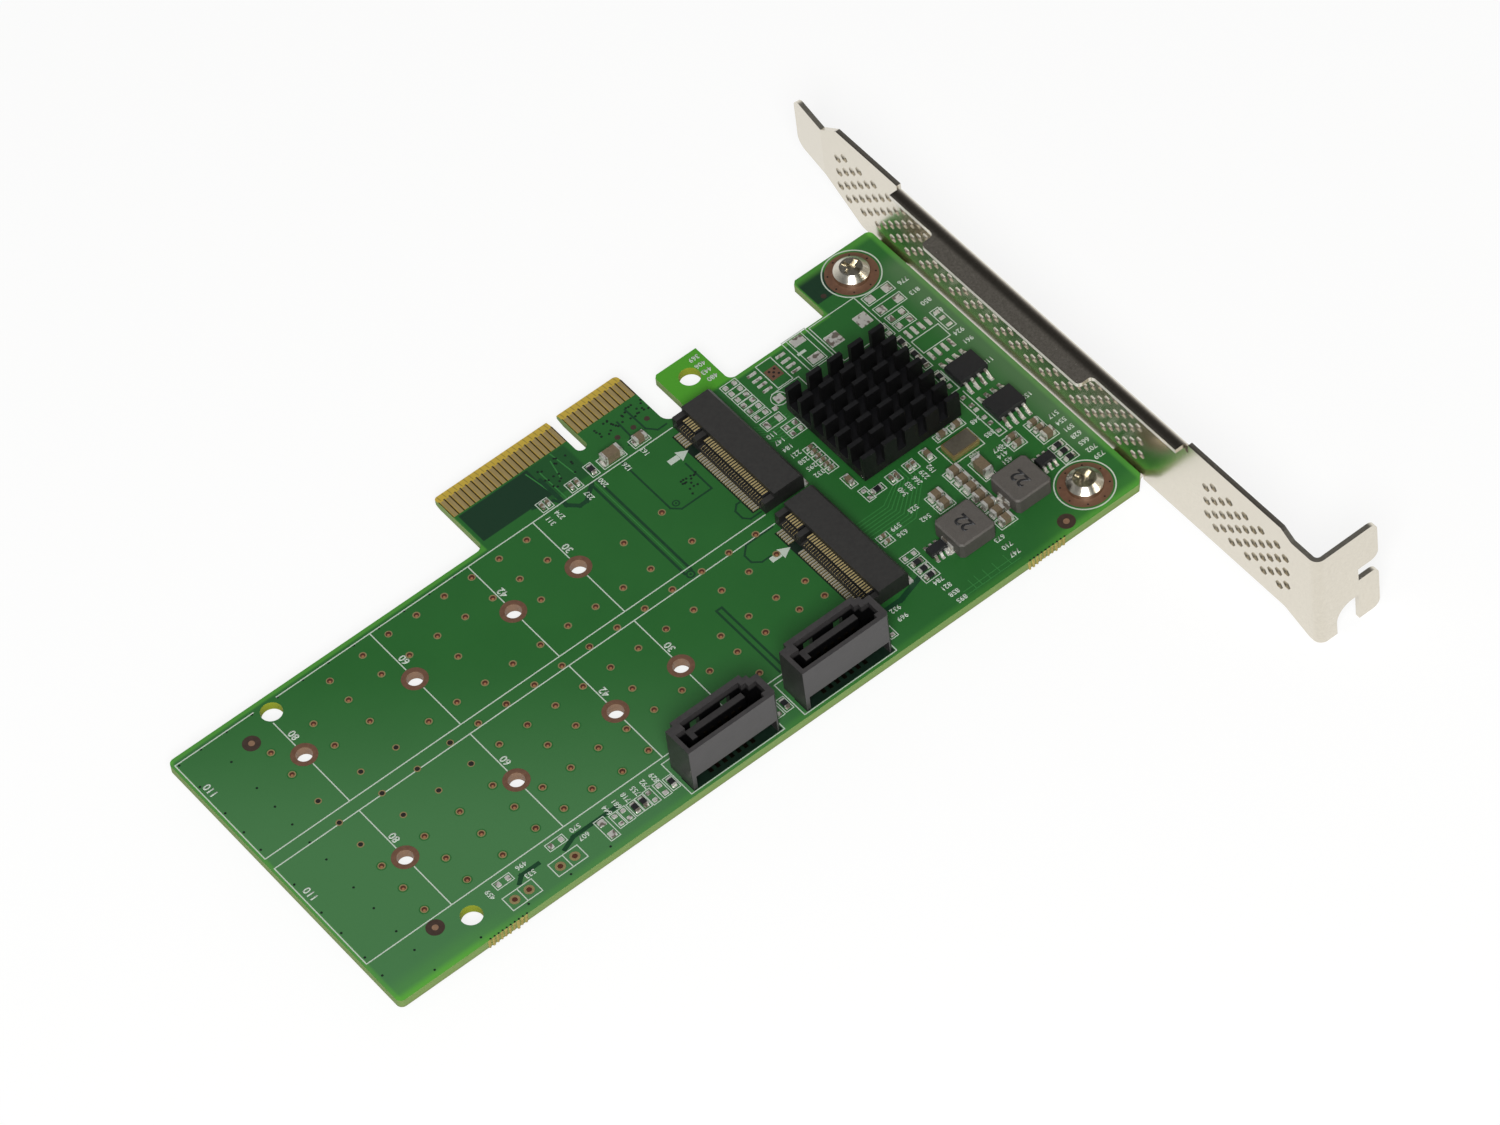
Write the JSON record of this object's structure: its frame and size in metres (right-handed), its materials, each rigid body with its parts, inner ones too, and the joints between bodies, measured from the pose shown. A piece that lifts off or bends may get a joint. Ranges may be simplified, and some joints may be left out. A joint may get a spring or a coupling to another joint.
{
  "type": "sata controller card",
  "caption": "Full-height computer expansion card for SATA and slim storage modules, with keyed sockets, pin-fin heat sink and perforated bracket.",
  "frame": {"origin": "middle of the edge connector's key notch, on the connector's front edge, at the board's component face", "axes": "+X along the edge connector towards the bracket, +Y out of the edge connector, +Z out of the board's component face"},
  "size_m": [0.1489, 0.12, 0.0205],
  "materials": {
    "solder_mask": "satin dark green mask over a glass-fibre board",
    "contact_gold": "polished gold plating",
    "bracket_nickel": "nickel-plated sheet steel",
    "screw_nickel": "nickel-plated steel",
    "chip_black": "matte moulded package",
    "slot_plastic": "dark slate moulded plastic",
    "sata_plastic": "black moulded plastic",
    "sink_black": "black anodised",
    "pad_grey": "soft heat-conducting pad",
    "tinned_metal": "tinned leads and ends",
    "ceramic_tan": "fired ceramic body",
    "resistor_black": "dark glazed top",
    "inductor_grey": "pressed powder body",
    "can_gold": "gold-coloured metal can",
    "lid_nickel": "satin nickel lid"
  },
  "bodies": {
    "root": {"bracket_screws": "screw_nickel", "capacitor_ends_1_6mm": "tinned_metal", "capacitor_ends_1mm": "tinned_metal", "capacitor_ends_2mm": "tinned_metal", "capacitor_ends_3_2mm": "tinned_metal", "capacitors_1_6mm": "ceramic_tan", "capacitors_1mm": "ceramic_tan", "capacitors_2mm": "ceramic_tan", "capacitors_3_2mm": "ceramic_tan", "circuit_board": "solder_mask", "controller_chip": "chip_black", "crystal_can": "can_gold", "crystal_lid": "lid_nickel", "edge_contacts_bottom": "contact_gold", "edge_contacts_top": "contact_gold", "eight_lead_chip_1": "chip_black", "eight_lead_chip_2": "chip_black", "eight_lead_chip_leads": "tinned_metal", "heat_sink": "sink_black", "inductor_1": "inductor_grey", "inductor_2": "inductor_grey", "inductor_terminals": "tinned_metal", "mounting_bracket": "bracket_nickel", "resistor_ends": "tinned_metal", "resistors": "resistor_black", "sata_contacts_1": "contact_gold", "sata_contacts_2": "contact_gold", "sata_socket_1": "sata_plastic", "sata_socket_2": "sata_plastic", "six_lead_chip_1": "chip_black", "six_lead_chip_2": "chip_black", "six_lead_chip_leads": "tinned_metal", "slot_hold_downs_1": "tinned_metal", "slot_hold_downs_2": "tinned_metal", "slot_lower_contacts_1": "contact_gold", "slot_lower_contacts_2": "contact_gold", "slot_socket_1": "slot_plastic", "slot_socket_2": "slot_plastic", "slot_upper_contacts_1": "contact_gold", "slot_upper_contacts_2": "contact_gold", "thermal_pad": "pad_grey"}
  },
  "joints": []
}
